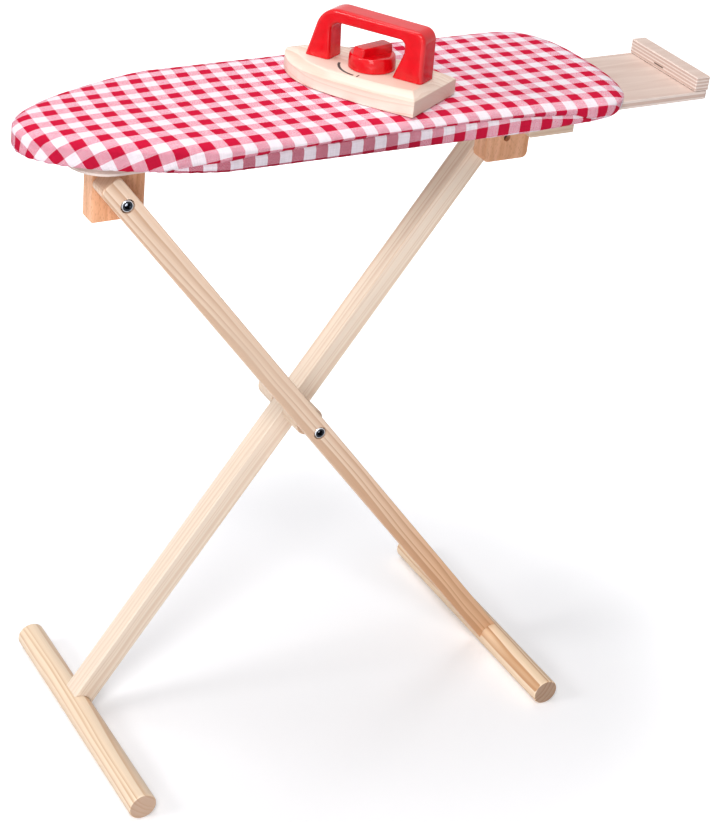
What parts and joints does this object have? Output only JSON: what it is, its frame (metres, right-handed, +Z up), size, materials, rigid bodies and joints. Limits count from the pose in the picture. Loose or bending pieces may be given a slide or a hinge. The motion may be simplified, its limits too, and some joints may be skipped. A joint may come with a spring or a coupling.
{
  "type": "toy ironing board",
  "caption": "Child's wooden toy ironing board: padded gingham board with an iron tray on a folding scissor stand, and a loose toy iron with a turning dial.",
  "frame": {"origin": "on the floor, under the middle of the bounding box", "axes": "+X along the board from its nose to the iron tray, +Y across the board towards the side that faces away in the picture, +Z up"},
  "size_m": [0.6116, 0.26, 0.6496],
  "materials": {
    "pine": "planed pine, clear satin finish",
    "oiled_beech": "oiled, satin",
    "birch_plywood": "sanded three-ply",
    "pad_foam": "matt foam padding",
    "gingham_cotton": "woven cotton, red and white gingham",
    "zinc_steel": "zinc plated",
    "red_plastic": "high gloss"
  },
  "bodies": {
    "board": {"base_board": "birch_plywood", "board_panel": "birch_plywood", "foam_pad": "pad_foam", "gingham_cover": "gingham_cotton", "tray_lip": "birch_plywood", "batten_near": "pine", "batten_far": "pine", "hinge_bracket": "oiled_beech", "hinge_bolt": "zinc_steel", "hinge_insert": "zinc_steel", "bracket_screw_nose": "zinc_steel", "bracket_screw_tail": "zinc_steel", "panel_screw_nose_near": "zinc_steel", "panel_screw_nose_far": "zinc_steel", "panel_screw_tail_near": "zinc_steel", "panel_screw_tail_far": "zinc_steel", "lip_screw_near": "zinc_steel", "lip_screw_far": "zinc_steel", "batten_screw_near_nose": "zinc_steel", "batten_screw_near_tail": "zinc_steel", "batten_screw_far_nose": "zinc_steel", "batten_screw_far_tail": "zinc_steel"},
    "leg_a": {"leg_a": "pine", "foot_a": "pine", "foot_a_screw": "zinc_steel", "crossing_spacer": "pine", "crossing_boss": "pine", "crossing_bolt": "zinc_steel", "crossing_insert": "zinc_steel"},
    "leg_b": {"leg_b": "pine", "foot_b": "pine", "foot_b_screw": "zinc_steel"},
    "rest_block": {"rest_block": "oiled_beech", "block_bolt": "zinc_steel", "block_insert": "zinc_steel"},
    "iron": {"iron_sole": "pine", "iron_handle": "red_plastic", "handle_screw_rear": "zinc_steel", "handle_screw_front": "zinc_steel", "dial_pin": "zinc_steel"},
    "dial": {"iron_dial": "red_plastic"}
  },
  "joints": [
    {"name": "leg_a_hinge", "type": "hinge", "parent": "board", "child": "leg_a", "pos_m": [-0.22675, 0, 0.5276], "axis": [0, -1, 0], "range_deg": [0, 47]},
    {"name": "leg_b_hinge", "type": "hinge", "parent": "leg_a", "child": "leg_b", "pos_m": [-0.03798, 0, 0.28669], "axis": [0, -1, 0], "range_deg": [-99, 0]},
    {"name": "block_hinge", "type": "hinge", "parent": "leg_b", "child": "rest_block", "pos_m": [0.13394, 0, 0.5276], "axis": [0, -1, 0], "range_deg": [0, 52]},
    {"name": "iron_lift", "type": "slide", "parent": "board", "child": "iron", "axis": [0, 0, 1], "range_m": [0, 0.1]},
    {"name": "dial_turn", "type": "hinge", "parent": "iron", "child": "dial", "pos_m": [-0.0083, -0.00668, 0.60694], "axis": [-0.0141, 0.0242, 0.9996], "continuous": true}
  ],
  "couplings": [
    {"joint": "leg_b_hinge", "follows": "leg_a_hinge", "ratio": -2.1},
    {"joint": "block_hinge", "follows": "leg_a_hinge", "ratio": 1.1}
  ]
}
